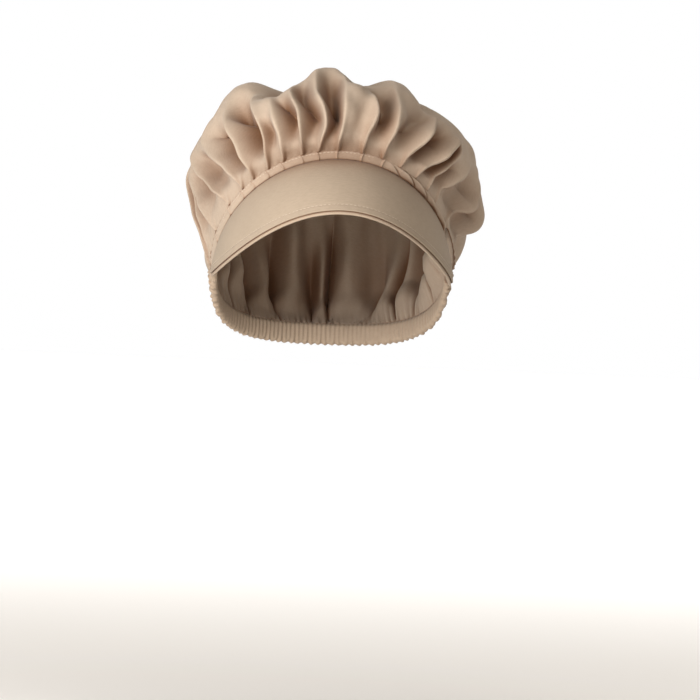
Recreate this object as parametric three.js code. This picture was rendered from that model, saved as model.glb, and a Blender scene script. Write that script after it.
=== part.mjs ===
// A work cap of cotton twill, as worn: a puffed crown gathered on a stiff crescent peak at the
// front and on a ruched elastic casing at the back.
//
// Millimetres, +Z up, the peak points to -Y and +X is the viewer's right from the front. The
// origin is the middle of the head opening, level with the two tips of the peak.
import * as THREE from "three";

const CROWN_CLOTH = 1.5;
const PLY = 1.2;
// The clearance between two pieces that are sewn to each other.
const SEAT = 0.35;

// The head opening, in plan an oval of these reaches, sloping from the hairline to the nape.
const RIM = {
  left: 76.5,
  right: 76.5,
  frontY: -96,
  backY: 80,
  frontZ: 71.5,
  leftZ: -1,
  rightZ: -1,
  backZ: -46,
};

// The peak runs from tip to tip, at tipDeg either side of the front of the rim. Its free edge is
// an arch that starts tipOut, tipForward and tipDrop from the rim. It is bulged by crownUp, its
// facing shows by margin past the upper ply, and endShare of the half-arc is built, so that
// neither tip is a knife edge.
const PEAK = {
  tipDeg: 89,
  edgeFrontY: -138,
  edgeFrontZ: 38.5,
  tipOut: 1.5,
  tipForward: 2,
  tipDrop: 1.5,
  crownUp: 3.2,
  margin: 1.5,
  endShare: 0.985,
  steps: 36,
  rows: 5,
};

// The flat-stitched strip between the peak and the crown, rise above the seam. It stops short on
// the wearer's left, where the crown stands off the peak. About rollDeg it turns into a rolled
// cord, rollOut thicker, whose twists swell by the share rollSwell. edge is the share of its
// height over which it is rounded.
const BAND = {
  leftDeg: -87.5,
  rightDeg: 63,
  rise: 1.6,
  thickness: 2,
  edge: 0.3,
  rollDeg: 36,
  rollFade: 7,
  rollOut: 1.4,
  rollSwell: 0.25,
  twists: 9,
  steps: 60,
};

// The ruched casing with the elastic, from one tip of the peak round the nape to the other. Its
// puckers change its height by ruffleUp and its thickness by ruffleOut, and endShare is the
// share of its length over which it narrows to endHeight.
const CASING = {
  startDeg: 87.9,
  height: 14,
  endHeight: 11,
  endShare: 0.12,
  thickness: 4.6,
  ruffleUp: 0.6,
  ruffleOut: 1,
  puckers: 36,
};
// The casing's section: down is a share of its height, from the top, and out of half its thickness.
const CASING_SECTION = [
  { down: 1, out: -0.6 },
  { down: 1, out: 0.6 },
  { down: 0.7, out: 1 },
  { down: 0.25, out: 1 },
  { down: 0, out: 0.6 },
  { down: 0, out: -0.6 },
  { down: 0.5, out: -1 },
];

// The wearer's left temple, where the crown's edge leaves the peak and shows a slit.
const SLIT = { midDeg: 78.7, halfDeg: 11.5, stand: 3.5, drop: 5, fade: 0.22 };

// The crown's form without its folds: closed rings from the stitched rim to the centre. Each
// ring is an oval in plan, with its own reach and height at the left, right, front and back.
const RINGS = [
  { left: 78, right: 78, frontY: -98, backY: 83, frontZ: 78, leftZ: 8, rightZ: 8, backZ: -31 },
  { left: 81.5, right: 77, frontY: -104, backY: 101, frontZ: 88, leftZ: 24, rightZ: 26, backZ: -22 },
  { left: 87, right: 93, frontY: -103, backY: 119, frontZ: 102, leftZ: 44, rightZ: 34, backZ: -9 },
  { left: 93, right: 97, frontY: -92, backY: 127, frontZ: 114, leftZ: 66, rightZ: 58, backZ: 28 },
  { left: 81, right: 86, frontY: -68, backY: 124, frontZ: 120, leftZ: 89, rightZ: 83, backZ: 64 },
  { left: 65, right: 67, frontY: -36, backY: 110, frontZ: 123, leftZ: 104, rightZ: 102, backZ: 93 },
  { left: 39, right: 41, frontY: 5, backY: 86, frontZ: 123, leftZ: 109, rightZ: 114, backZ: 111 },
  { left: 12, right: 12, frontY: 36, backY: 58, frontZ: 121, leftZ: 120, rightZ: 120, backZ: 119.5 },
];

// The folds, one row each, from the left temple round the front to the right one. foot and head
// are where the crest starts on the rim and where it ends at the shoulder, in degrees from the
// front, and sway bends it sideways between them. pinch is the crest's height and dip the depth
// of the hollow after it, in millimetres, and run the level at which the crest has faded.
const FOLDS = [
  { foot: -85, head: -90, sway: 0, pinch: 1.8, dip: 2.0, run: 0.34 },
  { foot: -74, head: -80, sway: 1, pinch: 2.4, dip: 4.0, run: 0.36 },
  { foot: -62, head: -71, sway: 3, pinch: 3.6, dip: 5.5, run: 0.38 },
  { foot: -52, head: -64, sway: 0, pinch: 3.6, dip: 6.5, run: 0.46 },
  { foot: -42, head: -52, sway: -1, pinch: 5.2, dip: 8.5, run: 0.58 },
  { foot: -33, head: -37, sway: 1, pinch: 3.2, dip: 4.0, run: 0.32 },
  { foot: -26, head: -31, sway: -1, pinch: 4.0, dip: 6.5, run: 0.54 },
  { foot: -18, head: -22, sway: 1, pinch: 4.2, dip: 8.5, run: 0.56 },
  { foot: -9, head: -11, sway: 3, pinch: 4.4, dip: 8.0, run: 0.5 },
  { foot: 0, head: 1, sway: 2, pinch: 6.0, dip: 10.0, run: 0.66 },
  { foot: 10, head: 16, sway: 1, pinch: 4.8, dip: 8.5, run: 0.58 },
  { foot: 20, head: 24, sway: 3, pinch: 4.6, dip: 9.0, run: 0.62 },
  { foot: 29, head: 38, sway: 1, pinch: 4.8, dip: 7.0, run: 0.52 },
  { foot: 38, head: 48, sway: 0, pinch: 4.4, dip: 6.0, run: 0.46 },
  { foot: 48, head: 58, sway: -2, pinch: 3.4, dip: 5.0, run: 0.32 },
  { foot: 60, head: 72, sway: -3, pinch: 3.2, dip: 6.5, run: 0.44 },
  { foot: 77, head: 86, sway: 0, pinch: 1.0, dip: 2.5, run: 0.3 },
  { foot: 92, head: 96, sway: 0, pinch: 2.4, dip: 4.0, run: 0.4 },
];
// Behind the ears the folds follow one another nearly evenly, with these sizes in turn.
const BACK_FOLDS = { count: 11, fromDeg: 105, toDeg: 263, unevenDeg: 3 };
const BACK_SIZES = [
  { sway: 2, pinch: 3.2, dip: 5.0, run: 0.5 },
  { sway: -2, pinch: 4.2, dip: 7.0, run: 0.4 },
  { sway: 3, pinch: 3.0, dip: 5.0, run: 0.58 },
  { sway: -3, pinch: 3.8, dip: 6.0, run: 0.46 },
];
// How a crest is shaped: rise is the level by which it stands full height, narrow and wide its
// breadth near the rim and where it fades, as shares of the way to the next fold, and lean how
// much steeper its right flank is than its left one. settle is the share of its run up to which
// it keeps its height, and last the share of its run at which the hollow beside it ends.
const CREST = { rise: 0.07, narrow: 0.2, wide: 0.36, lean: 0.3, settle: 0.55, last: 1.3 };

// The large soft lobes and hollows of the shoulder, one row each: where the middle lies, in
// degrees and as a level, how far it reaches either way, and its lift in millimetres.
const LOBES = [
  { deg: -86, level: 0.44, wide: 16, tall: 0.15, lift: 2 },
  { deg: -62, level: 0.5, wide: 10, tall: 0.13, lift: 1.5 },
  { deg: -56, level: 0.66, wide: 11, tall: 0.13, lift: 10 },
  { deg: -32, level: 0.62, wide: 8, tall: 0.18, lift: -12 },
  { deg: -19, level: 0.56, wide: 7, tall: 0.12, lift: 3 },
  { deg: -6, level: 0.62, wide: 9, tall: 0.13, lift: 12.5 },
  { deg: 29, level: 0.64, wide: 10, tall: 0.14, lift: 7.5 },
  { deg: 45, level: 0.5, wide: 7, tall: 0.1, lift: -1 },
  { deg: 60, level: 0.56, wide: 11, tall: 0.14, lift: 0.5 },
  { deg: 86, level: 0.4, wide: 16, tall: 0.11, lift: 4 },
  { deg: 88, level: 0.3, wide: 13, tall: 0.07, lift: 3 },
  { deg: 105, level: 0.2, wide: 14, tall: 0.14, lift: -13 },
  { deg: 118, level: 0.5, wide: 15, tall: 0.16, lift: 4 },
  { deg: 142, level: 0.6, wide: 12, tall: 0.16, lift: -4 },
  { deg: 165, level: 0.48, wide: 16, tall: 0.18, lift: 4 },
  { deg: 196, level: 0.62, wide: 14, tall: 0.16, lift: -4 },
  { deg: 217, level: 0.46, wide: 15, tall: 0.16, lift: 5 },
  { deg: 243, level: 0.6, wide: 12, tall: 0.14, lift: -3 },
];

// The level at which the folds have reached the direction they keep to the centre.
const SHOULDER = 0.55;

// Where columns of vertices lie between one crest and the next, in front and behind the ears,
// and the levels of the rows from rim to centre.
const COLUMN_STEPS = [0, 0.13, 0.32, 0.55, 0.77, 0.9];
const BACK_STEPS = [0, 0.2, 0.5, 0.78];
const ROW_LEVELS = [0, 0.035, 0.08, 0.14, 0.21, 0.29, 0.38, 0.47, 0.56, 0.66, 0.77, 0.88, 1];

// A small step, in radians, in levels or in shares, across which directions are measured.
const STEP = 0.01;

const rad = THREE.MathUtils.degToRad;
const smooth = THREE.MathUtils.smoothstep;
const mix = THREE.MathUtils.lerp;
const clamp = THREE.MathUtils.clamp;

// A point of an oval ring at an angle from the front, positive towards +X.
function ringPoint(ring, angle) {
  const c = Math.cos(angle);
  const s = Math.sin(angle);
  const width = s < 0 ? ring.left : ring.right;
  const sideZ = s < 0 ? ring.leftZ : ring.rightZ;
  const middleZ = (ring.leftZ + ring.rightZ) / 2;
  const backLift = ring.backZ - 2 * middleZ + ring.frontZ;
  return new THREE.Vector3(
    width * s,
    (ring.frontY + ring.backY) / 2 - ((ring.backY - ring.frontY) / 2) * c,
    middleZ + (sideZ - middleZ) * s * s + (ring.frontZ - middleZ) * c + (c < 0 ? backLift * c * c : 0),
  );
}

function catmullRom(a, b, c, d, t) {
  return 0.5 * (2 * b + (c - a) * t + (2 * a - 5 * b + 4 * c - d) * t * t + (3 * b - a - 3 * c + d) * t ** 3);
}

// The ring at a level from 0, the rim, to 1, the last ring, as a smooth mix of its neighbours.
function ringAt(level) {
  const place = level * (RINGS.length - 1);
  const i = Math.min(Math.floor(place), RINGS.length - 2);
  const near = [i - 1, i, i + 1, i + 2].map((k) => RINGS[clamp(k, 0, RINGS.length - 1)]);
  const ring = {};
  for (const key of Object.keys(RINGS[0])) {
    ring[key] = catmullRom(...near.map((row) => row[key]), place - i);
  }
  return ring;
}

function allFolds() {
  const spacing = (BACK_FOLDS.toDeg - BACK_FOLDS.fromDeg) / (BACK_FOLDS.count - 1);
  const back = Array.from({ length: BACK_FOLDS.count }, (_, k) => {
    const deg = BACK_FOLDS.fromDeg + k * spacing + BACK_FOLDS.unevenDeg * Math.sin(2 * k);
    return { foot: deg, head: deg, ...BACK_SIZES[k % BACK_SIZES.length] };
  });
  return [...FOLDS, ...back];
}

const folds = allFolds();

// A crest: a thin pinched ridge near the rim, broader and lower up the crown.
function crest(fold, distance, level, flank) {
  const fade = smooth(level, fold.run * CREST.settle, fold.run);
  const height = fold.pinch * smooth(level, 0, CREST.rise) * (1 - fade);
  const lean = 1 + flank * CREST.lean;
  const breadth = mix(CREST.narrow, CREST.wide, smooth(level, 0, fold.run)) * lean;
  return height * Math.exp(-((distance / breadth) ** 2));
}

// The hollow between a crest and the next, as deep as dip about half way up the folds.
function hollow(fold, next, share, level) {
  const run = mix(fold.run, next.run, share);
  const full = run * CREST.settle;
  const depth = fold.dip * smooth(level, 0, full) * (1 - smooth(level, full, run * CREST.last));
  return -depth * Math.sin(Math.PI * share) ** 2;
}

function lobes(angle, level) {
  return LOBES.reduce((sum, lobe) => {
    const turn = angle - rad(lobe.deg);
    const across = Math.atan2(Math.sin(turn), Math.cos(turn)) / rad(lobe.wide);
    const along = (level - lobe.level) / lobe.tall;
    return sum + lobe.lift * Math.exp(-(across ** 2) - along ** 2);
  }, 0);
}

// How much a point of the crown takes part in the slit, from 0 to 1.
function slitShare(angle, level) {
  const near = (angle - rad(SLIT.midDeg)) / rad(SLIT.halfDeg);
  return Math.max(0, 1 - near ** 6) * (1 - smooth(level, 0, SLIT.fade));
}

// The middle of the crown's cloth, at a column counted in folds and a level from 0 to 1.
function crownPoint(column, level) {
  const i = Math.floor(column);
  const share = column - i;
  const fold = folds[i % folds.length];
  const next = folds[(i + 1) % folds.length];
  const turn = i + 1 === folds.length ? 360 : 0;
  const spread = smooth(level, 0, SHOULDER);
  const bend = Math.sin(Math.PI * Math.min(1, level / SHOULDER));
  const from = mix(fold.foot, fold.head, spread) + fold.sway * bend;
  const to = mix(next.foot, next.head, spread) + next.sway * bend + turn;
  const angle = rad(mix(from, to, share));
  const ring = ringAt(level);
  const point = ringPoint(ring, angle);
  const along = ringPoint(ring, angle + STEP).sub(ringPoint(ring, angle - STEP));
  const above = ringPoint(ringAt(Math.min(1, level + STEP)), angle);
  const below = ringPoint(ringAt(Math.max(0, level - STEP)), angle);
  const out = along.cross(above.sub(below)).normalize();
  const slit = slitShare(angle, level);
  const height =
    crest(fold, share, level, -1) +
    crest(next, 1 - share, level, 1) +
    hollow(fold, next, share, level) +
    lobes(angle, level) * smooth(level, 0, CREST.rise) +
    SLIT.stand * slit;
  point.addScaledVector(out, height).addScaledVector(rimFrame(angle).up, -SLIT.drop * slit);
  return { point, angle };
}

function columnList() {
  return folds.flatMap((_, i) => (i < FOLDS.length ? COLUMN_STEPS : BACK_STEPS).map((step) => i + step));
}

// The normal of a grid of points, closed round the columns, at one column and row.
function gridNormal(grid, i, j) {
  const n = grid.length;
  const last = grid[0].length - 1;
  const round = grid[(i + 1) % n][j].clone().sub(grid[(i + n - 1) % n][j]);
  const up = grid[i][Math.min(j + 1, last)].clone().sub(grid[i][Math.max(j - 1, 0)]);
  return round.cross(up).normalize();
}

// A geometry from points and triangles.
function solid(points, faces) {
  const geometry = new THREE.BufferGeometry();
  geometry.setAttribute("position", new THREE.Float32BufferAttribute(points.flatMap((p) => p.toArray()), 3));
  geometry.setIndex(faces.flat());
  geometry.computeVertexNormals();
  return geometry;
}

// The crown: an outer and an inner sheet joined round the rim, each closed at the centre.
function crownGeometry() {
  const made = columnList().map((column) => ROW_LEVELS.map((level) => crownPoint(column, level)));
  const grid = made.map((line) => line.map((each) => each.point));
  const n = grid.length;
  const rows = ROW_LEVELS.length;
  const points = [];
  const faces = [];
  const half = CROWN_CLOTH / 2;
  for (const side of [half, -half]) {
    grid.forEach((line, i) =>
      line.forEach((p, j) => {
        const normal = j ? gridNormal(grid, i, j) : rimFrame(made[i][j].angle).out;
        points.push(p.clone().addScaledVector(normal, side));
      }),
    );
  }
  const at = (sheet, i, j) => sheet * n * rows + (i % n) * rows + j;
  const centre = ringPoint(RINGS[RINGS.length - 1], Math.PI / 2);
  centre.x = 0;
  const outerPole = points.push(centre.clone().add(new THREE.Vector3(0, 0, half))) - 1;
  const innerPole = points.push(centre.clone().add(new THREE.Vector3(0, 0, -half))) - 1;
  for (let i = 0; i < n; i++) {
    for (let j = 0; j < rows - 1; j++) {
      faces.push([at(0, i, j), at(0, i + 1, j), at(0, i + 1, j + 1)]);
      faces.push([at(0, i, j), at(0, i + 1, j + 1), at(0, i, j + 1)]);
      faces.push([at(1, i, j), at(1, i + 1, j + 1), at(1, i + 1, j)]);
      faces.push([at(1, i, j), at(1, i, j + 1), at(1, i + 1, j + 1)]);
    }
    faces.push([at(0, i, rows - 1), at(0, i + 1, rows - 1), outerPole]);
    faces.push([at(1, i, rows - 1), innerPole, at(1, i + 1, rows - 1)]);
    faces.push([at(0, i, 0), at(1, i, 0), at(1, i + 1, 0)]);
    faces.push([at(0, i, 0), at(1, i + 1, 0), at(0, i + 1, 0)]);
  }
  return solid(points, faces);
}

// A closed solid through equal closed sections, with flat ends.
function sweep(sections) {
  const m = sections[0].length;
  const last = sections.length - 1;
  const points = sections.flat();
  const faces = [];
  for (let i = 0; i < last; i++) {
    for (let k = 0; k < m; k++) {
      const a = i * m + k;
      const b = i * m + ((k + 1) % m);
      faces.push([a, b + m, b], [a, a + m, b + m]);
    }
  }
  for (let k = 1; k < m - 1; k++) {
    faces.push([0, k, k + 1], [last * m, last * m + k + 1, last * m + k]);
  }
  return solid(points, faces);
}

// The frame at a point of the rim: along it, up the cloth and outwards.
function rimFrame(angle) {
  const at = ringPoint(RIM, angle);
  const along = ringPoint(RIM, angle + STEP).sub(ringPoint(RIM, angle - STEP)).normalize();
  const lift = ringPoint(RINGS[0], angle).sub(at);
  const up = lift.addScaledVector(along, -lift.dot(along)).normalize();
  const out = along.clone().cross(up).normalize();
  return { at, along, up, out };
}

// Points of a section in the frame of the rim, from pairs of height and distance outwards.
function rimSection(angle, outline) {
  const { at, up, out } = rimFrame(angle);
  return outline.map(([height, off]) => at.clone().addScaledVector(up, height).addScaledVector(out, off));
}

// The height of the crown's stitched edge above the rim line.
function crownEdge(angle) {
  const frame = rimFrame(angle);
  return ringPoint(RINGS[0], angle).sub(frame.at).dot(frame.up);
}

// The peak's middle surface: share runs from tip to tip, -1 to 1, and reach from seam to edge,
// 0 to 1. extra is a length past the edge.
function peakPoint(share, reach, extra) {
  const seam = ringPoint(RIM, rad(PEAK.tipDeg * share));
  const tip = ringPoint(RIM, rad(PEAK.tipDeg));
  const phi = (share * Math.PI) / 2;
  const c = Math.cos(phi);
  const edge = new THREE.Vector3(
    (tip.x + PEAK.tipOut) * Math.sin(phi),
    mix(tip.y - PEAK.tipForward, PEAK.edgeFrontY, c),
    mix(tip.z - PEAK.tipDrop, PEAK.edgeFrontZ, c * c),
  );
  return seam.lerp(edge, reach + extra / seam.distanceTo(edge));
}

function peakNormal(share, reach) {
  const across = peakPoint(share + STEP, reach, 0).sub(peakPoint(share - STEP, reach, 0));
  const near = Math.max(0, reach - STEP);
  const far = Math.min(1, reach + STEP);
  return peakPoint(share, far, 0).sub(peakPoint(share, near, 0)).cross(across).normalize();
}

// One ply of the peak between two offsets from its middle surface. With a margin it has a
// further row of points past the edge.
function peakPly(low, high, margin) {
  const sections = [];
  for (let i = 0; i <= PEAK.steps; i++) {
    const share = mix(-PEAK.endShare, PEAK.endShare, i / PEAK.steps);
    const bulge = PEAK.crownUp * Math.cos((share * Math.PI) / 2);
    const place = (reach, extra, offset) => {
      const lift = offset + bulge * Math.sin(Math.PI * reach);
      return peakPoint(share, reach, extra).addScaledVector(peakNormal(share, reach), lift);
    };
    const line = (offset) => {
      const row = Array.from({ length: PEAK.rows }, (_, k) => place(k / (PEAK.rows - 1), 0, offset));
      return margin ? [...row, place(1, margin, offset)] : row;
    };
    sections.push([...line(low), ...line(high).reverse()]);
  }
  return sweep(sections);
}

// The flat-stitched band above the peak, which ends in a twisted roll.
function bandGeometry() {
  const half = BAND.thickness / 2;
  const sections = [];
  for (let i = 0; i <= BAND.steps; i++) {
    const deg = mix(BAND.leftDeg, BAND.rightDeg, i / BAND.steps);
    const low = BAND.rise;
    const high = crownEdge(rad(deg)) - SEAT;
    const rolled = smooth(deg, BAND.rollDeg - BAND.rollFade, BAND.rollDeg + BAND.rollFade);
    const twist = ((deg - BAND.rollDeg) / (BAND.rightDeg - BAND.rollDeg)) * BAND.twists;
    const swell = mix(1 - 2 * BAND.rollSwell, 1, Math.cos(Math.PI * twist) ** 2);
    const full = half + BAND.rollOut * rolled * swell;
    const outline = [
      [low, -half],
      [low, half],
      [mix(low, high, BAND.edge), full],
      [mix(high, low, BAND.edge), full],
      [high, half],
      [high, -half],
    ];
    sections.push(rimSection(rad(deg), outline));
  }
  return sweep(sections);
}

// The ruched casing: a swept rounded strip whose height and thickness pucker.
function casingGeometry() {
  const steps = CASING.puckers * 2;
  const sections = [];
  for (let i = 0; i <= steps; i++) {
    const share = i / steps;
    const angle = rad(mix(CASING.startDeg, 360 - CASING.startDeg, share));
    const full = smooth(Math.min(share, 1 - share), 0, CASING.endShare);
    const pucker = i % 2 ? 1 : -1;
    const height = mix(CASING.endHeight, CASING.height, full) + pucker * CASING.ruffleUp;
    const half = (CASING.thickness + pucker * CASING.ruffleOut) / 2;
    const top = crownEdge(angle) - SEAT;
    const outline = CASING_SECTION.map(({ down, out }) => [top - height * down, half * out]);
    sections.push(rimSection(angle, outline));
  }
  return sweep(sections);
}

const twill = new THREE.MeshStandardMaterial({ color: 0xc9ae8c, roughness: 0.85, metalness: 0 });
const twillShade = new THREE.MeshStandardMaterial({ color: 0xbfa382, roughness: 0.88, metalness: 0 });

const cap = new THREE.Group();
function add(name, geometry, material) {
  const mesh = new THREE.Mesh(geometry, material);
  mesh.name = name;
  cap.add(mesh);
}

add("crown", crownGeometry(), twill);
add("gather_band", bandGeometry(), twill);
add("peak", peakPly(SEAT / 2, SEAT / 2 + PLY, 0), twill);
add("peak_facing", peakPly(-SEAT / 2 - PLY, -SEAT / 2, PEAK.margin), twillShade);
add("elastic_casing", casingGeometry(), twillShade);

export default cap;
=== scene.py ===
# A work cap of cotton twill, as worn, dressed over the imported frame.
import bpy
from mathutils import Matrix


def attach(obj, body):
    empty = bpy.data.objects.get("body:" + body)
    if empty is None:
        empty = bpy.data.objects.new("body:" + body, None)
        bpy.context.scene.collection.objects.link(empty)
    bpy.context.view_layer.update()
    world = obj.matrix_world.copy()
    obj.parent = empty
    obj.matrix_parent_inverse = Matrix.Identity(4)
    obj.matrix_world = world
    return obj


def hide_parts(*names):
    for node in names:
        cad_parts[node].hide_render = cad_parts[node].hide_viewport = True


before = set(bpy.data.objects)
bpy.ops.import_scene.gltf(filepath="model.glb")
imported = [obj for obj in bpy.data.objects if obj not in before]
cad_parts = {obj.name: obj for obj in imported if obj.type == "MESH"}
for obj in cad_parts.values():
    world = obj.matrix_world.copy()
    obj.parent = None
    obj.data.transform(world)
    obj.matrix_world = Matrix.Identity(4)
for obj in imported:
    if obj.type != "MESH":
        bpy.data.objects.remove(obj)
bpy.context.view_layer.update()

import math

import bpy
import numpy as np
from mathutils import Matrix, Vector

MM = 0.001

# The cap's form, in millimetres and degrees. An oval ring has its own reach and height at the
# left, right, front and back.
RIM = np.array([76.5, 76.5, -96, 80, 71.5, -1, -1, -46])
LEFT, RIGHT, FRONT_Y, BACK_Y, FRONT_Z, LEFT_Z, RIGHT_Z, BACK_Z = range(8)
RINGS = np.array(
    [
        # left, right, front y, back y, front z, left z, right z, back z
        [78, 78, -98, 83, 78, 8, 8, -31],
        [81.5, 77, -104, 101, 88, 24, 26, -22],
        [87, 93, -103, 119, 102, 44, 34, -9],
        [93, 97, -92, 127, 114, 66, 58, 28],
        [81, 86, -68, 124, 120, 89, 83, 64],
        [65, 67, -36, 110, 123, 104, 102, 93],
        [39, 41, 5, 86, 123, 109, 114, 111],
        [12, 12, 36, 58, 121, 120, 120, 119.5],
    ]
)

# The folds from the left side round the front to the right. A row has the angle of the crest at
# the path levels, its height, the level where it has run out, the depth of the hollow after it,
# where that hollow is deepest, from -1, by its left crest, to 1, by its right one, and the level
# where the hollow ends. FOOT and HEAD are the columns of the first and the last angle.
PATH_LEVELS = [0, 0.1, 0.2, 0.3, 0.4, 0.58]
PATH, PINCH, RUN, DIP, SKEW, END = slice(0, 6), 6, 7, 8, 9, 10
FOOT, HEAD = 0, 5
FRONT_FOLDS = [
    # angles at the six levels, pinch, run, dip, skew, end
    [-87, -88, -89, -91, -92, -93, 2.4, 0.36, 5, 0, 0.34],
    [-75, -78, -82, -86, -89, -90, 3, 0.4, 8, 0.4, 0.42],
    [-60.5, -63.5, -69.5, -75.5, -80, -84, 2.6, 0.42, 9, -0.4, 0.42],
    [-50.3, -52.5, -57.5, -63.5, -68.5, -72, 3, 0.46, 15, 0.4, 0.48],
    [-43.5, -44, -46.5, -49.2, -51.5, -56, 4.2, 0.5, 20, 0.2, 0.56],
    [-35.2, -34.8, -34.8, -35.8, -37.5, -42, 3.6, 0.4, 6, -0.7, 0.3],
    [-27.5, -27, -27.2, -28.5, -29.5, -32, 4.0, 0.5, 10, 0.4, 0.46],
    [-18.2, -18.2, -18.2, -18.8, -20.5, -23, 4.2, 0.46, 12, 0, 0.59],
    [-11, -9.8, -7.3, -8.2, -10.2, -12, 4.4, 0.48, 16.5, 0.1, 0.61],
    [-2, -2, -0.5, 0.2, 0.5, 1, 4.6, 0.54, 2.5, 0.9, 0.36],
    [9, 9.8, 11, 12, 11, 10, 4.2, 0.5, 11.5, 0.4, 0.56],
    [18.8, 20, 20.8, 20.5, 20.8, 21.2, 4.2, 0.5, 10.5, 0.3, 0.5],
    [28, 30.8, 33, 34.8, 37.8, 41, 4.4, 0.48, 15, -0.7, 0.44],
    [36.8, 40.8, 44, 46.5, 51, 56, 4.4, 0.46, 14.5, -0.7, 0.38],
    [45.5, 48.5, 50, 51.5, 54, 57, 3.8, 0.3, 8, -0.4, 0.3],
    [53, 56, 58, 60, 62, 64, 2.6, 0.32, 11.5, 0.5, 0.4],
    [64, 69, 73, 76, 78, 79, 3.8, 0.44, 10, -0.2, 0.35],
    [79.5, 83, 85.5, 87, 88.2, 88.6, 3.6, 0.46, 15, -0.9, 0.46],
    [98, 101, 103, 104, 104, 104, 1.4, 0.3, 5, 0, 0.3],
]
# The folds behind: how many there are, between which angles, and how unevenly they are spaced.
# Each follows the sway by its own share, and takes its sizes from these rows in turn.
BACK_COUNT, BACK_FROM, BACK_TO, BACK_UNEVEN, BACK_BEAT = 11, 113, 262, 3, 2
BACK_SWAY = [0, 0.5, 1, 0.8, 0.4, 0]
BACK_SIZES = [
    # sway, pinch, run, dip, skew, end
    [2, 3.2, 0.5, 8, -0.5, 0.44],
    [-2, 4.2, 0.42, 11, 0.4, 0.5],
    [3, 3.0, 0.58, 8, -0.3, 0.4],
    [-3, 3.8, 0.46, 10, 0.6, 0.54],
]
# A crest stands full at the level RISE and keeps its height up to the share SETTLE of its run.
# A hollow deepens from DEEP_FROM to DEEP_FULL, and its roof reaches CLOSE_BELOW and CLOSE_ABOVE
# either side of its end. Past the last path level the folds run straight to the centre.
RISE, SETTLE, CLOSE_BELOW, CLOSE_ABOVE = 0.15, 0.55, 0.08, 0.05
DEEP_FROM, DEEP_FULL = 0.08, 0.3
# How far the deepest place of a hollow lies from its middle at full skew, as a share of it, and
# how round its section is at the seam and above: less than 1 makes the floor broad and flat.
SKEW_REACH, FLOOR_LOW, FLOOR_HIGH, FLOOR_TURN = 0.2, 0.3, 0.85, 0.36
# The fine ridge along a crest: its height, its breadth at the seam and higher up, the level where
# it is full, the level where it is broad and begins to fade, and the level where it has faded.
RIDGE_HIGH, RIDGE_NARROW, RIDGE_BROAD = 0.9, 0.8, 2.6
RIDGE_FULL, RIDGE_LEVEL, RIDGE_LAST = 0.03, 0.3, 0.45
# To the left of this angle the pleats of the band lean right, and past it left.
LEAN_TURNS = -5
# How many columns of points a fold has in front and behind and how far they crowd towards the
# crests, how many rows the crown has and how far they crowd towards the seam, and how many rows
# close its centre.
FRONT_SAMPLES, BACK_SAMPLES, CROWDING = 22, 36, 0.5
ROWS, ROW_CROWDING, CENTRE_ROWS = 84, 0.45, 6

# The large soft lobes and hollows of the shoulder, and how square they are across.
LOBE_SQUARE = 2.6
LOBES = [
    # degrees, level, wide, tall, lift
    [-86, 0.44, 16, 0.15, 2],
    [-62, 0.5, 10, 0.13, 1.5],
    [-56, 0.66, 11, 0.13, 10],
    [-32, 0.68, 8, 0.12, -12],
    [-19, 0.56, 7, 0.12, 3],
    [-7, 0.62, 9.5, 0.13, 11.5],
    [5, 0.42, 5, 0.14, 3],
    [26, 0.64, 8.5, 0.14, 7.5],
    [40, 0.6, 7, 0.12, -4],
    [60, 0.56, 11, 0.14, 0.5],
    [80, 0.36, 14, 0.12, -1],
    [89, 0.3, 6, 0.08, 3],
    [100, 0.3, 8, 0.16, -16],
    [106, 0.2, 13, 0.14, -10],
    [118, 0.5, 15, 0.16, 4],
    [142, 0.6, 12, 0.16, -4],
    [165, 0.48, 16, 0.18, 4],
    [196, 0.62, 14, 0.16, -4],
    [217, 0.46, 15, 0.16, 5],
    [243, 0.6, 12, 0.14, -3],
]
# The slit, where the crown's edge hangs free beside the peak's end: its angle and half its
# breadth, how far the edge stands out and hangs down, how square the stretch is, and the level
# up to which it lifts the cloth.
SLIT_DEG, SLIT_HALF, SLIT_STAND, SLIT_DROP, SLIT_SQUARE, SLIT_FADE = 78.7, 11.5, 3.5, 5, 6, 0.22

# The thickness of the crown's cloth and of the peak's two plies, and the gap between the plies.
CROWN_CLOTH, PLY, FACING_PLY, SEAT = 0.9, 1.2, 1.5, 0.35
# The small step in angle, level or share that slopes are measured over.
STEP = 0.01

# The peak: its tips, its free edge at the front, its bulge, and the share of the way to the tips
# at which it ends. The facing reaches FACING_MARGIN past the edge, and the stitches run
# TOPSTITCH_IN inside it, to the share TOPSTITCH_END of the way to the tips.
TIP_DEG, TIP_OUT, TIP_FORWARD, TIP_DROP = 89, 1.5, 2, 1.5
EDGE_FRONT_Y, EDGE_FRONT_Z, PEAK_BULGE, PEAK_END = -138, 38.5, 3.2, 0.985
FACING_MARGIN, MARGIN_TURN, TOPSTITCH_IN, TOPSTITCH_END = 1.5, 6, 4.2, 0.9
# How finely a ply is built: its steps from tip to tip, its rows on top and how far they crowd
# towards the edge, its points round the edge and the angle they leave out, and its rows below.
PEAK_STEPS, PEAK_ROWS, EDGE_CROWDING, EDGE_POINTS, EDGE_SKIP, UNDER_ROWS = 260, 46, 1.6, 7, 0.15, 16
# The dimples that the topstitching draws into the peak: how many there are, how deep the groove
# and each dimple is, the breadth of the groove, and below how many times TOPSTITCH_IN of the
# peak's depth they fade towards the tips.
PUCKERS, PUCKER_BASE, PUCKER_TICK, PUCKER_WIDE, PUCKER_FADE = 100, 0.12, 0.22, 0.7, 4

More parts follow.
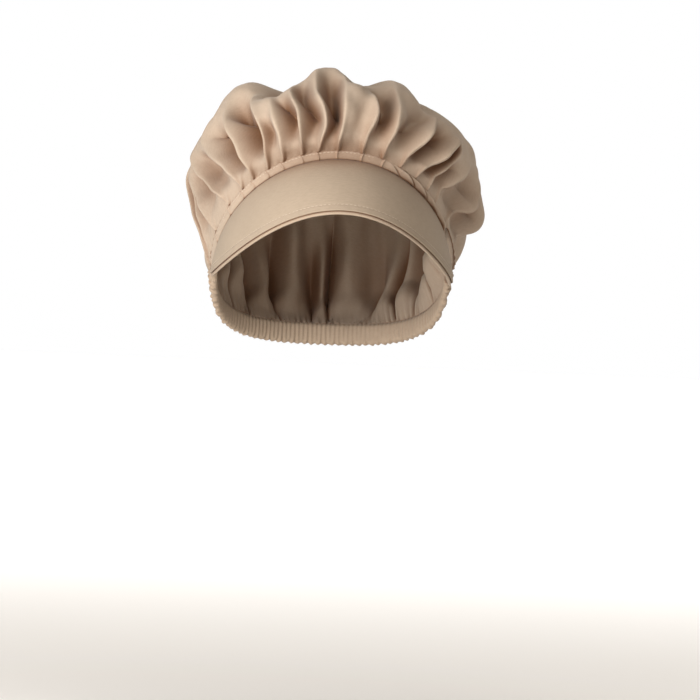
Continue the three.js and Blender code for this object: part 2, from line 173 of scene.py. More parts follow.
# The band, in degrees and millimetres: its ends, its lower edge above the rim, the half of its
# thickness, how far its top covers the crown's edge, and its steps, its rows in front and behind.
BAND_LEFT, BAND_RIGHT, BAND_LOW, BAND_HALF, BAND_COVER = -87.5, 66, 0.9, 0.9, 0.5
BAND_STEPS, BAND_ROWS, BAND_BACK_ROWS = 520, 15, 5
# How far the crown stands out over the band, how many degrees past the band's ends that fades,
# and the levels from which and up to which the crown follows the band's pleats and upper edge.
BAND_OVER, BAND_FADE, OVER_FROM, OVER_TO, EDGE_TO = 0.4, 3, 0.02, 0.2, 0.1
# The pleats of the band: how far each stands out, its breadth on the side that it leans away
# from and on the other, how round it is, its kink at the stitch line, in degrees, and the turn
# of that kink down the band.
PLEAT_OUT, PLEAT_WIDE, PLEAT_STEEP, PLEAT_ROUND, PLEAT_KINK, KINK_TURN = 0.95, 0.6, 0.3, 1.6, 0.55, 2.6
# How far the pleats flatten in the roll, and how far and how suddenly the band's edges thin out.
PLEAT_LOSS, EDGE_THIN, ROLL_THIN, THIN_TURN = 0.3, 0.55, 0.3, 8
# Towards +X the band is rolled, in overlapping scales that end at these angles. The roll starts
# and is full at ROLL_FROM and ROLL_TO, it is ROLL_HIGH and then ROLL_END high, and a scale's edge
# slants by ROLL_SLANT, the more so towards the top. The section's roundness is ROLL_ROUND.
SCALES = [9, 18.8, 28, 36.8, 45.5, 54, 66]
ROLL_FROM, ROLL_TO, ROLL_OUT, ROLL_HIGH, ROLL_END = 16, 34, 2.3, 5.6, 3.2
ROLL_SLANT, ROLL_LEAN, ROLL_ROUND = 6, 1.4, 2.6
# A scale begins at SCALE_LOW of its full height and reaches it at the share SCALE_FULL.
SCALE_LOW, SCALE_FULL = 0.45, 0.8
# Over its last degrees the roll sinks to this share.
SINK_DEG, SINK_TO = 6, 0.2
# The groove between two scales: its depth, and its breadth in degrees.
GROOVE_DEEP, GROOVE_WIDE = 1.5, 0.45

# The ruched casing: the angle of its ends, its height, its height at the ends and the share over
# which that changes, half its thickness, how much flatter its edges are in front and behind, and
# how far it reaches up over the crown's edge.
CASING_DEG, CASING_HEIGHT, CASING_END_HEIGHT, CASING_END_SHARE = 87.9, 14, 11, 0.12
CASING_HALF, CASING_FLAT, CASING_BACK_FLAT, CASING_OVER = 2.3, 0.6, 0.5, 0.3
CASING_TURN, CASING_BACK_TURN = 5, 4
# Its ruches: how many there are, the steps in each, how far one stands out from the elastic and
# how deep it starts, how sharp it is, how much of it the stitches hold down, its depth behind,
# and the wave of the lower edge with its beat.
CASING_PUCKERS, CASING_STEPS, CASING_ROWS, CASING_BACK_ROWS = 78, 12, 19, 7
RUCHE_OUT, RUCHE_IN, RUCHE_SHARP, RUCHE_HELD, RUCHE_BACK = 1.7, 0.7, 0.8, 0.5, 0.4
HEM_WAVE, HEM_BEAT = 0.5, 1.37
# How the ruches wander sideways, along the casing and down it, and how uneven they are.
WANDER_ALONG, WANDER_BEAT, WANDER_DOWN, WANDER_ROWS, WANDER_DRIFT = 0.35, 0.83, 0.3, 6.9, 0.34
UNEVEN_LOW, UNEVEN_HIGH, UNEVEN_BEAT, UNEVEN_ROWS = 0.65, 0.35, 1.9, 5
# The two stitched grooves of the channel: their places down the casing, breadth and depth.
CHANNEL_TOP, CHANNEL_LOW, CHANNEL_WIDE, CHANNEL_DEEP = 0.17, 0.8, 0.06, 0.9

# The rows of stitches: the length of a stitch, the gap after it, and the thread's radius.
TOPSTITCH, GATHER_STITCH = (2.1, 0.7, 0.16), (1.6, 0.9, 0.15)
# How many points each row's path has, how far the topstitches lie off the cloth, how far below
# the band's upper edge its stitches run, and how far from the band's end they begin.
TOPSTITCH_POINTS, GATHER_POINTS, TOPSTITCH_OFF = 400, 600, 0.03
GATHER_STITCH_IN, GATHER_STITCH_END = 1.5, 1
# A stitch, as sections along it with breadth and lift in radii, its sides, and the step along the
# path that its direction is measured over.
STITCH_SECTIONS = [
    # share, breadth, lift
    (0.0, 0.25, -0.5),
    (0.18, 0.85, 0.1),
    (0.5, 1.0, 0.35),
    (0.82, 0.85, 0.1),
    (1.0, 0.25, -0.5),
]
STITCH_SIDES, STITCH_AHEAD = 6, 0.2

# The weave: the slant of its wales, how many wales, threads and slubs there are in a metre, how
# much finer the slubs are across, and how many patches of faint mottling there are in a metre.
WALE_SLANT, WALES_PER_M, THREADS_PER_M, SLUBS_PER_M, SLUB_STRETCH = 58, 1900, 2200, 260, 5
MOTTLE_PER_M = 26
# The stops of the colour between the wales, at the slubs and over the mottling. WHITE leaves the
# colour of the cloth as it is.
WHITE = (1.0, 1.0, 1.0)
WALE_STOPS = [(0.0, (0.9, 0.89, 0.875)), (0.55, WHITE)]
SLUB_STOPS = [(0.35, (0.93, 0.925, 0.915)), (0.6, WHITE)]
MOTTLE_STOPS = [(0.3, 0.95), (0.5, 1), (0.72, 1.045)]
# The relief of the wales, the slubs and the soft unevenness, in metres, and its strength.
WALE_DEEP, SLUB_DEEP, SOFT_DEEP, WEAVE_STRENGTH, SOFT_STRENGTH = 0.00012, 0.00018, 0.0012, 0.5, 0.35
# The gloss of the cloth, and its sheen: its share on the crown and on the pressed peak, its
# breadth and its tint.
CLOTH_GLOSS, SHEEN, SHEEN_PRESSED, SHEEN_BROAD = 0.18, 0.12, 0.1, 0.45
SHEEN_TINT = (1.0, 0.94, 0.87, 1)
# The thread: the turns of its twist in a metre, their relief in metres and its strength, the
# thread's roughness, and how dark and light its colour is.
TWIST_PER_M, TWIST_DEEP, TWIST_STRENGTH, THREAD_ROUGH = 2600, 0.0001, 0.5, 0.6
THREAD_STOPS = [(0.3, 0.88), (0.7, 1.05)]
# The scale that gives one wave in a unit of length.
WAVE_UNIT = math.pi / 10

# The camera of the photograph: its azimuth and roll, its place, the breadth of its sensor, its
# focal length and picture in pixels, and how far it sees.
CAMERA_AZ, CAMERA_ROLL, CAMERA_AT = -3, 2.4, (-0.118935, -2.557198, -0.047542)
SENSOR, FOCAL_PIXELS, PICTURE_PIXELS, CAMERA_FAR = 36, 3906.25, 700, 200
# The floor: its height, how far it reaches, its colour, the patches of its paint in a metre, the
# stops of their shade, and how rough it is.
FLOOR_Z, FLOOR_REACH, FLOOR_COLOUR = -0.3, 60, (0.92, 0.9, 0.87)
FLOOR_PER_M, FLOOR_STOPS, FLOOR_ROUGH = 3, [(0.3, 0.99), (0.7, 1)], 0.9
# How bright the floor's own glow is, painted light that brightens it in the distance, and how far from the
# cap it begins and is full.
FLOOR_GLOW, FLOOR_GLOW_FROM, FLOOR_GLOW_TO = 0.56, 0.3, 1.8
# The surround is bright up to HORIZON_LOW above the horizon and dimmer past HORIZON_TOP.
HORIZON, OVERHEAD, HORIZON_LOW, HORIZON_TOP = 1.0, 0.05, 0.1, 0.13
LIGHTS = [
    # name, azimuth, elevation, spread, strength, colour
    ("top", 6, 58, 60, 1.6, (1, 0.94, 0.86)),
    ("fill", 10, 6, 70, 0.25, (1, 0.8, 0.64)),
    ("back", 175, 24, 60, 0.8, (1, 0.92, 0.84)),
]
# The key light is a near soft box in front, towards -X: its place and aim, its side and power.
KEY_AT, KEY_AIM, KEY_SIDE, KEY_POWER = (-0.5, -0.66, 0.14), (0, -0.02, 0.07), 0.45, 8.8

# The light colours of the twill and of the thread, linear.
TWILL = (0.4, 0.314, 0.24)
# The peak's twill: the same cloth painted darker, as painted shade.
TWILL_PEAK_SHADED = (0.33, 0.26, 0.192)
TWILL_UNDER = (0.375, 0.288, 0.212)
THREAD = (0.5, 0.41, 0.32)
# Shade painted into the folds, a deeper and warmer colour where the cloth is enclosed: the reach,
# in metres, the tint, the openness at which it is full and at which there is none, and how many rays
# measure it.
CREASE_SHADE_REACH, CREASE_SHADE_TINT, CREASE_SHADE_FULL, CREASE_SHADE_NONE, CREASE_SHADE_RAYS = 0.055, (0.46, 0.27, 0.16), 0.34, 0.93, 8


def smooth(x, low, high):
    """0 up to low and 1 from high, with an easy turn at both."""
    t = np.clip((x - low) / (high - low), 0, 1)
    return t * t * (3 - 2 * t)


def mix(a, b, t):
    return a + (b - a) * t


def unit(v):
    return v / np.linalg.norm(v, axis=-1, keepdims=True)


def ring_point(ring, angle):
    """Points of an oval ring at angles from the front, positive towards +X."""
    c, s = np.cos(angle), np.sin(angle)
    width = np.where(s < 0, ring[..., LEFT], ring[..., RIGHT])
    side = np.where(s < 0, ring[..., LEFT_Z], ring[..., RIGHT_Z])
    middle = (ring[..., LEFT_Z] + ring[..., RIGHT_Z]) / 2
    lift = ring[..., BACK_Z] - 2 * middle + ring[..., FRONT_Z]
    z = middle + (side - middle) * s * s + (ring[..., FRONT_Z] - middle) * c
    z = z + np.where(c < 0, lift * c * c, 0)
    y = (ring[..., FRONT_Y] + ring[..., BACK_Y]) / 2
    y = y - (ring[..., BACK_Y] - ring[..., FRONT_Y]) / 2 * c
    return np.stack([width * s, y, z], -1)


def ring_at(level):
    """The ring at each level from 0, the rim, to 1, the last ring."""
    place = np.asarray(level, float) * (len(RINGS) - 1)
    i = np.minimum(np.floor(place).astype(int), len(RINGS) - 2)
    t = (place - i)[..., None]
    a, b, c, d = (RINGS[np.clip(i + k, 0, len(RINGS) - 1)] for k in (-1, 0, 1, 2))
    bend, twist = 2 * a - 5 * b + 4 * c - d, 3 * b - a - 3 * c + d
    return 0.5 * (2 * b + (c - a) * t + bend * t**2 + twist * t**3)


def rim_frame(angle):
    """Where the rim is, and the directions along it, up the cloth and outwards."""
    at = ring_point(RIM, angle)
    along = unit(ring_point(RIM, angle + STEP) - ring_point(RIM, angle - STEP))
    lift = ring_point(RINGS[0], angle) - at
    up = unit(lift - along * (lift * along).sum(-1, keepdims=True))
    return at, along, up, unit(np.cross(along, up))


def crown_edge(angle):
    """The height of the crown's stitched edge above the rim line."""
    at, _, up, _ = rim_frame(angle)
    return ((ring_point(RINGS[0], angle) - at) * up).sum(-1)


def all_folds():
    """The rows of the front folds and of the plainer ones behind."""
    rows = [list(row) for row in FRONT_FOLDS]
    for k in range(BACK_COUNT):
        even = BACK_FROM + k * (BACK_TO - BACK_FROM) / (BACK_COUNT - 1)
        deg = even + BACK_UNEVEN * math.sin(BACK_BEAT * k)
        sway, *sizes = BACK_SIZES[k % len(BACK_SIZES)]
        rows.append([*(deg + sway * share for share in BACK_SWAY), *sizes])
    return np.array(rows, float)


FOLDS = all_folds()


def fold_paths(levels):
    """The angle of each crest at each level, in degrees, as smooth curves."""
    known = np.array(PATH_LEVELS)
    level = np.minimum(levels, known[-1])
    i = np.clip(np.searchsorted(known, level, side="right") - 1, 0, len(known) - 2)
    path = FOLDS[:, PATH]
    slope = np.gradient(path, known, axis=1)
    slope[:, -1] = 0
    width = (known[i + 1] - known[i])[None, :]
    t = (level - known[i])[None, :] / width
    a, b, p, q = path[:, i], path[:, i + 1], slope[:, i] * width, slope[:, i + 1] * width
    places = (2 * t**3 - 3 * t**2 + 1) * a + (3 * t**2 - 2 * t**3) * b
    slopes = (t**3 - 2 * t**2 + t) * p + (t**3 - t**2) * q
    return places + slopes


def hollow_form(share, skew, level):
    """The section of a hollow, 0 at both crests and 1 at its deepest, steeper on one side."""
    t = np.where(skew > 0, 1 - share, share)
    deepest = 0.5 - SKEW_REACH * np.abs(skew)
    power = math.log(0.5) / np.log(deepest)
    wave = (1 - np.cos(2 * math.pi * t**power)) / 2
    return wave ** mix(FLOOR_LOW, FLOOR_HIGH, smooth(level, 0, FLOOR_TURN))


def lobes(angle, level):
    """How far the large lobes lift the cloth."""
    total = 0
    for deg, middle, wide, tall, lift in LOBES:
        turn = angle - math.radians(deg)
        across = np.abs(np.arctan2(np.sin(turn), np.cos(turn))) / math.radians(wide)
        total = total + lift * np.exp(-(across**LOBE_SQUARE) - ((level - middle) / tall) ** 2)
    return total


# Small unevenness of the cloth: waves round the crown and up it, with their phase and height.
RIPPLES = [
    # waves round, waves up, phase, height
    [17, 2.3, 0.4, 0.5],
    [29, -3.1, 2.1, 0.35],
    [41, 4.7, 4.4, 0.25],
    [67, -2.2, 1.3, 0.16],
    [11, 5.9, 3.0, 0.4],
]
# The ripples begin and are full at the first two levels, and fade between the other two.
RIPPLE_FROM, RIPPLE_FULL, RIPPLE_FADE, RIPPLE_GONE = 0.04, 0.2, 0.5, 0.8
# The fine gathers next to the stitched rim: how many there are, how high and how far up they
# reach, in front and on the elastic, and the angles between which they change.
GATHERS_ROUND, GATHER_FRONT, GATHER_BACK = 126, (0.22, 0.04), (1.1, 0.13)
GATHER_FROM, GATHER_TO = 70, 96
# How the gathers wander at the rim and further up, and how much their height varies.
GATHER_SHIFT, SHIFT_BEAT, GATHER_FAN, FAN_BEAT = 2.5, 7, 3, 11
GATHER_EVEN, GATHER_VARY, VARY_BEAT = 0.7, 0.3, 23


def unevenness(angle, level):
    """The height of the ripples and of the fine gathers."""
    total = 0
    for rounds, ups, phase, height in RIPPLES:
        total = total + height * np.sin(rounds * angle + 2 * math.pi * ups * level + phase)
    turn = np.abs(np.degrees(np.arctan2(np.sin(angle), np.cos(angle))))
    behind = smooth(turn, GATHER_FROM, GATHER_TO)
    tall, reach = (mix(GATHER_FRONT[k], GATHER_BACK[k], behind) for k in range(2))
    wander = GATHER_SHIFT * np.sin(SHIFT_BEAT * angle) + GATHER_FAN * level * np.sin(FAN_BEAT * angle)
    fine = np.sin(GATHERS_ROUND * angle + wander) * tall * np.exp(-((level / reach) ** 2))
    fine = fine * (GATHER_EVEN + GATHER_VARY * np.sin(VARY_BEAT * angle))
    total = total * smooth(level, RIPPLE_FROM, RIPPLE_FULL)
    return total * (1 - smooth(level, RIPPLE_FADE, RIPPLE_GONE)) + fine


def crown_surface(columns, levels):
    """The middle of the crown's cloth for columns counted in folds, and levels from 0 to 1."""
    column, level = np.meshgrid(columns, levels, indexing="ij")
    i = np.floor(column).astype(int)
    share = column - i
    n = len(FOLDS)
    paths = np.concatenate([fold_paths(levels), fold_paths(levels)[:1] + 360])
    row = np.arange(len(levels))[None, :]
    start, end = paths[i, row], paths[i + 1, row]
    angle = np.radians(mix(start, end, share))
    fold, following = FOLDS[i], FOLDS[(i + 1) % n]
    ring = ring_at(level)
    point = ring_point(ring, angle)
    along = ring_point(ring, angle + STEP) - ring_point(ring, angle - STEP)
    above = ring_point(ring_at(np.minimum(1, level + STEP)), angle)
    below = ring_point(ring_at(np.maximum(0, level - STEP)), angle)
    out = unit(np.cross(along, above - below))
    near = (angle - math.radians(SLIT_DEG)) / math.radians(SLIT_HALF)
    slit = np.maximum(0, 1 - near**SLIT_SQUARE) * (1 - smooth(level, 0, SLIT_FADE))
    run = mix(fold[..., RUN], following[..., RUN], share)
    settled = 1 - smooth(level, run * SETTLE, run)
    top = mix(fold[..., PINCH], following[..., PINCH], share) * smooth(level, 0, RISE) * settled
    depth = fold[..., DIP] * smooth(level, DEEP_FROM, DEEP_FULL)
    depth = depth * (1 - smooth(level - fold[..., END], -CLOSE_BELOW, CLOSE_ABOVE))
    height = top - (top + depth) * hollow_form(share, fold[..., SKEW], level)
    length = np.linalg.norm(along, axis=-1) / (2 * STEP) * np.radians(end - start)
    broad = mix(RIDGE_NARROW, RIDGE_BROAD, smooth(level, 0, RIDGE_LEVEL))
    ridge = np.exp(-((share * length / broad) ** 2)) + np.exp(-(((1 - share) * length / broad) ** 2))
    ridge = ridge * smooth(level, 0, RIDGE_FULL) * (1 - smooth(level, RIDGE_LEVEL, RIDGE_LAST))
    height = height + RIDGE_HIGH * ridge
    height = height + lobes(angle, level) * smooth(level, 0, RISE) + unevenness(angle, level)
    height = height + SLIT_STAND * slit
    up = rim_frame(angle)[2]
    return point + out * height[..., None] - up * (SLIT_DROP * slit)[..., None], angle


def pleats(deg, height):
    """How far the band's pleats stand out, at angles in degrees and shares of its height."""
    total = 0
    for row in FOLDS:
        kink = PLEAT_KINK * np.sin(KINK_TURN * (1 - height)) * (1 if row[FOOT] < LEAN_TURNS else -1)
        d = deg - row[FOOT] - kink
        steep = d > 0 if row[FOOT] < LEAN_TURNS else d < 0
        width = np.where(steep, PLEAT_STEEP, PLEAT_WIDE)
        total = total + PLEAT_OUT * np.exp(-np.abs(d / width) ** PLEAT_ROUND)
    return total


def scales(deg, height):
    """How far the rolled band stands out, in scales with a groove where each one ends."""
    place = deg + ROLL_SLANT * height**ROLL_LEAN
    total = 0
    for a, b in zip(SCALES, SCALES[1:]):
        q = (place - a) / (b - a)
        full = mix(SCALE_LOW, 1, smooth(q, 0, SCALE_FULL))
        total = total + np.where((q >= 0) & (q < 1), ROLL_OUT * full, 0)
        total = total - GROOVE_DEEP * np.exp(-(((place - b) / GROOVE_WIDE) ** 2))
    return total


def roll_share(deg):
    """How far the band is rolled, from 0 to 1."""
    return smooth(deg, ROLL_FROM, ROLL_TO)


def band_top(deg):
    """The height of the band's upper edge above the rim line."""
    top = crown_edge(np.radians(deg))
    thin = mix(ROLL_HIGH, ROLL_END, smooth(deg, ROLL_TO, BAND_RIGHT))
    inside = 1 - smooth(deg, BAND_RIGHT, BAND_RIGHT + BAND_FADE)
    return mix(top, thin, roll_share(deg) * inside)


def crown_middle(columns, levels):
    """The crown's surface with its first rows drawn to the band and its pleats carried on."""
    middle, angle = crown_surface(columns, levels)
    level = np.asarray(levels)[None, :]
    deg = np.degrees(np.arctan2(np.sin(angle), np.cos(angle)))
    _, _, up, out = rim_frame(angle)
    inside = smooth(deg, BAND_LEFT - BAND_FADE, BAND_LEFT)
    inside = inside * (1 - smooth(deg, BAND_RIGHT, BAND_RIGHT + BAND_FADE))
    lower = (band_top(deg) - crown_edge(angle)) * (1 - smooth(level, 0, EDGE_TO)) * inside
    stand = (pleats(deg, 1 + 0 * deg) * (1 - roll_share(deg)) + BAND_OVER) * inside
    stand = stand * (1 - smooth(level, OVER_FROM, OVER_TO))
    return middle + up * lower[..., None] + out * stand[..., None], angle


def make_object(name, points, faces, material, flat=None):
    """A smooth-shaded object from points in millimetres, with flat cloth coordinates as UV."""
    mesh = bpy.data.meshes.new(name)
    mesh.from_pydata((np.asarray(points) * MM).tolist(), [], faces)
    mesh.polygons.foreach_set("use_smooth", [True] * len(mesh.polygons))
    if flat is not None:
        layer = mesh.uv_layers.new(name="cloth")
        corners = np.zeros(len(mesh.loops), int)
        mesh.loops.foreach_get("vertex_index", corners)
        layer.data.foreach_set("uv", (np.asarray(flat)[corners] * MM).ravel())
    mesh.materials.append(material)
    made = bpy.data.objects.new(name, mesh)
    bpy.context.scene.collection.objects.link(made)
    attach(made, "root")
    return made


def round_faces(n, m, start, flip):
    """Quads of an n by m grid of points that is closed round n."""
    a = np.arange(n)[:, None]
    b = np.arange(m - 1)[None, :]
    p = start + a * m + b
    q = start + ((a + 1) % n) * m + b
    quads = np.stack([p, q, q + 1, p + 1], -1).reshape(-1, 4)
    return (quads[:, ::-1] if flip else quads).tolist()


def loft(sections):
    """Points and faces of a closed solid through equal closed sections, with flat ends."""
    n, m = sections.shape[:2]
    k = np.arange(m)
    faces = []
    for i in range(n - 1):
        a, b = i * m + k, i * m + (k + 1) % m
        faces.extend(np.stack([a, a + m, b + m, b], -1).tolist())
    faces.append(list(range(m)))
    faces.append(list(range((n - 1) * m, n * m))[::-1])
    return sections.reshape(-1, 3), faces


def loft_flat(sections):
    """Flat coordinates of a loft: along it, and round its section."""
    along = np.linalg.norm(np.diff(sections, axis=0), axis=2).mean(1)
    around = np.linalg.norm(np.diff(sections, axis=1), axis=2).mean(0)
    along = np.concatenate([[0], np.cumsum(along)])
    around = np.concatenate([[0], np.cumsum(around)])
    return np.stack(np.meshgrid(along, around, indexing="ij"), -1).reshape(-1, 2)


def round_normals(grid):
    """The normals of a grid of points that is closed round its first direction."""
    across = np.roll(grid, -1, 0) - np.roll(grid, 1, 0)
    up = np.empty_like(grid)
    up[:, 1:-1] = grid[:, 2:] - grid[:, :-2]
    up[:, 0] = grid[:, 1] - grid[:, 0]
    up[:, -1] = grid[:, -1] - grid[:, -2]
    return unit(np.cross(across, up))


def flat_disc(columns, grid):
    """Flat cloth coordinates of a grid over the crown, which is cut as a round piece."""
    steps = np.linalg.norm(np.diff(grid, axis=1), axis=2).mean(0)
    reach = steps.sum() - np.concatenate([[0], np.cumsum(steps)]) + RINGS[-1, RIGHT]
    i = np.floor(columns).astype(int)
    start = FOLDS[i % len(FOLDS), HEAD]
    end = np.where(i + 1 == len(FOLDS), 360, 0) + FOLDS[(i + 1) % len(FOLDS), HEAD]
    turn = np.radians(mix(start, end, columns - i))[:, None]
    return np.stack([reach * np.sin(turn), -reach * np.cos(turn)], -1)


def crown_object(material):
    """The crown: a fine outer sheet and a coarser inner one, joined along the stitched rim."""
    columns = []
    for i in range(len(FOLDS)):
        samples = FRONT_SAMPLES if i < len(FRONT_FOLDS) else BACK_SAMPLES
        t = np.arange(samples) / samples
        columns.append(i + mix(t, (1 - np.cos(math.pi * t)) / 2, CROWDING))
    columns = np.concatenate(columns)
    w = np.linspace(0, 1, ROWS)
    levels = mix(w, w * w, ROW_CROWDING)
    middle, angle = crown_middle(columns, levels)
    normal = round_normals(middle)
    normal[:, 0] = rim_frame(angle[:, 0])[3]
    flat = flat_disc(columns, middle)
    points, flats, faces, rims = [], [], [], []
    start = 0
    for side, step in ((1, 1), (-1, 2)):
        sheet = (middle + normal * (side * CROWN_CLOTH / 2))[::step, ::-step][:, ::-1]
        spread = flat[::step, ::-step][:, ::-1]
        if step > 1:
            sheet[:, 0] = (middle + normal * (side * CROWN_CLOTH / 2))[::step, 0]
            spread = spread.copy()
            spread[:, 0] = flat[::step, 0]
        centre = sheet[:, -1].mean(0)
        inward = 1 - np.arange(1, CENTRE_ROWS) / CENTRE_ROWS
        closing = centre + (sheet[:, -1:] - centre) * inward[None, :, None]
        sheet = np.concatenate([sheet, closing], 1)
        spread = np.concatenate([spread, spread[:, -1:] * inward[None, :, None]], 1)
        n, m = sheet.shape[:2]
        points += [sheet.reshape(-1, 3), centre[None]]
        flats += [spread.reshape(-1, 2), np.zeros((1, 2))]
        faces += round_faces(n, m, start, side < 0)
        pole = start + n * m
        for i in range(n):
            a, b = start + i * m + m - 1, start + (i + 1) % n * m + m - 1
            faces.append([a, b, pole] if side > 0 else [b, a, pole])
        rims.append((start, n, m))
        start = pole + 1
    (first, n, tall), (second, half, low) = rims
    for i in range(0, n, 2):
        a, b, c = first + i * tall, first + (i + 1) * tall, first + (i + 2) % n * tall
        p, q = second + i // 2 * low, second + (i // 2 + 1) % half * low
        faces += [[b, a, p], [c, b, q], [b, p, q]]
    return make_object("crown_cloth", np.concatenate(points), faces, material, np.concatenate(flats))


def rim_points(angle, heights, offs):
    """Points by the rim from heights and distances outwards, a row for each angle."""
    at, _, up, out = (v[:, None] for v in rim_frame(angle))
    return at + up * heights[..., None] + out * offs[..., None]


def band_object(material):
    """The stitched band, with the crown's pleats pressed flat in it, and its rolled end."""
    deg = np.linspace(BAND_LEFT, BAND_RIGHT, BAND_STEPS)[:, None]
    face = np.linspace(0, 1, BAND_ROWS)[None, :]
    top = band_top(deg) + BAND_COVER
    tuck = np.abs(2 * face - 1)
    rolled = roll_share(deg)
    plain = (BAND_HALF + pleats(deg, face) * (1 - PLEAT_LOSS * rolled)) * (1 - EDGE_THIN * tuck**THIN_TURN)
    swell = scales(deg, face) * np.sqrt(1 - tuck**ROLL_ROUND)
    roll = BAND_HALF + swell - ROLL_THIN * tuck**THIN_TURN
    roll = roll * mix(SINK_TO, 1, smooth(BAND_RIGHT - deg, 0, SINK_DEG))
    off = mix(plain, roll, rolled)
    height = mix(BAND_LOW, top, face)
    back = np.linspace(1, 0, BAND_BACK_ROWS)[None, :] + 0 * deg
    heights = np.concatenate([height, mix(BAND_LOW, top, back)], 1)
    offs = np.concatenate([off, -BAND_HALF + 0 * back], 1)
    sections = rim_points(np.radians(deg[:, 0]), heights, offs)
    points, faces = loft(sections)
    return make_object("band_cloth", points, faces, material, loft_flat(sections))


def peak_point(share, reach, extra):
    """The peak's middle surface: share from tip to tip, reach from seam to edge."""
    seam = ring_point(RIM, np.radians(TIP_DEG * share))
    tip = ring_point(RIM, np.radians(TIP_DEG))
    phi = share * math.pi / 2
    c = np.cos(phi)
    edge = np.stack(
        [
            (tip[0] + TIP_OUT) * np.sin(phi),
            mix(tip[1] - TIP_FORWARD, EDGE_FRONT_Y, c),
            mix(tip[2] - TIP_DROP, EDGE_FRONT_Z, c * c),
        ],
        -1,
    )
    length = np.linalg.norm(edge - seam, axis=-1)
    return seam + (edge - seam) * (reach + extra / length)[..., None]


def peak_normal(share, reach):
    """The direction out of the peak's upper side."""
    zero = 0 * share
    across = peak_point(share + STEP, reach, zero) - peak_point(share - STEP, reach, zero)
    near = peak_point(share, np.maximum(0, reach - STEP), zero)
    far = peak_point(share, np.minimum(1, reach + STEP), zero)
    return unit(np.cross(far - near, across))


def peak_surface(share, reach, extra, offset):
    """A point off the peak's bulged middle surface."""
    share, reach, extra, offset = np.broadcast_arrays(share, reach, extra, offset)
    bulge = PEAK_BULGE * np.cos(share * math.pi / 2) * np.sin(math.pi * reach)
    return peak_point(share, reach, extra) + peak_normal(share, reach) * (offset + bulge)[..., None]


def peak_width(share):
    """The peak's depth from seam to edge."""
    zero = 0 * share
    return np.linalg.norm(peak_point(share, 1 + zero, zero) - peak_point(share, zero, zero), axis=-1)


def puckers(share, reach):
    """The small dimples that the topstitching draws into the peak along its free edge."""
    inset = peak_width(share) * (1 - reach)
    row = np.exp(-(((inset - TOPSTITCH_IN) / PUCKER_WIDE) ** 2))
    tick = 0.5 + 0.5 * np.cos(share * 2 * math.pi * PUCKERS)
    return -row * (PUCKER_BASE + PUCKER_TICK * tick)


def peak_ply(name, material, low, high, margin):
    """A ply of the peak between two offsets, with a rounded free edge."""
    share = np.linspace(-PEAK_END, PEAK_END, PEAK_STEPS)[:, None]
    w = np.linspace(0, 1, PEAK_ROWS)
    reach = (1 - (1 - w) ** EDGE_CROWDING)[None, :]
    half, mid = (high - low) / 2, (high + low) / 2
    upper_relief = puckers(share + 0 * reach, reach + 0 * share)
    taper = np.minimum(1, peak_width(share) / (PUCKER_FADE * TOPSTITCH_IN))
    upper = peak_surface(share, reach, margin * w[None, :] ** MARGIN_TURN, high + upper_relief * taper)
    turn = np.linspace(EDGE_SKIP, math.pi - EDGE_SKIP, EDGE_POINTS)[None, :]
    edge = peak_surface(share, 1.0, margin + half * np.sin(turn), mid + half * np.cos(turn))
    under_reach = np.linspace(1, 0, UNDER_ROWS)[None, :]
    under = peak_surface(share, under_reach, margin * under_reach**MARGIN_TURN, low)
    sections = np.concatenate([upper, edge, under], 1)[:, ::-1]
    points, faces = loft(sections)
    return make_object(name, points, faces, material, loft_flat(sections))


def casing_object(material):
    """The casing, ruched on its elastic, with a stitched channel between two small frills."""
    steps = CASING_PUCKERS * CASING_STEPS
    share = np.linspace(0, 1, steps + 1)[:, None]
    angle = np.radians(mix(CASING_DEG, 360 - CASING_DEG, share))
    full = smooth(np.minimum(share, 1 - share), 0, CASING_END_SHARE)
    face = np.linspace(0, 1, CASING_ROWS)[None, :]
    phase = share * CASING_PUCKERS
    warp = WANDER_ALONG * np.sin(WANDER_BEAT * phase)
    warp = warp + WANDER_DOWN * np.sin(WANDER_ROWS * face + WANDER_DRIFT * phase)
    ridge = np.abs(np.sin(math.pi * (phase + warp))) ** RUCHE_SHARP
    uneven = UNEVEN_LOW + UNEVEN_HIGH * np.sin(UNEVEN_BEAT * phase + UNEVEN_ROWS * face)
    down = mix(CASING_END_HEIGHT, CASING_HEIGHT, full) + HEM_WAVE * np.sin(math.pi * HEM_BEAT * phase)
    stitched = sum(np.exp(-(((face - row) / CHANNEL_WIDE) ** 2)) for row in (CHANNEL_TOP, CHANNEL_LOW))
    body = CASING_HALF * (1 - np.abs(2 * face - 1) ** CASING_TURN * CASING_FLAT) - CHANNEL_DEEP * stitched
    off = body + (RUCHE_OUT * ridge * uneven - RUCHE_IN) * (1 - RUCHE_HELD * stitched)
    top = crown_edge(angle) + CASING_OVER
    height = top - down * face
    back = np.linspace(1, 0, CASING_BACK_ROWS)[None, :]
    inner = -CASING_HALF * (1 - np.abs(2 * back - 1) ** CASING_BACK_TURN * CASING_BACK_FLAT)
    inner = inner - RUCHE_BACK * np.sin(math.pi * phase) ** 2
    heights = np.concatenate([height, top - down * back], 1)
    offs = np.concatenate([off, inner], 1)
    sections = rim_points(angle[:, 0], heights, offs)[:, ::-1]
    points, faces = loft(sections)
    return make_object("casing_cloth", points, faces, material, loft_flat(sections))


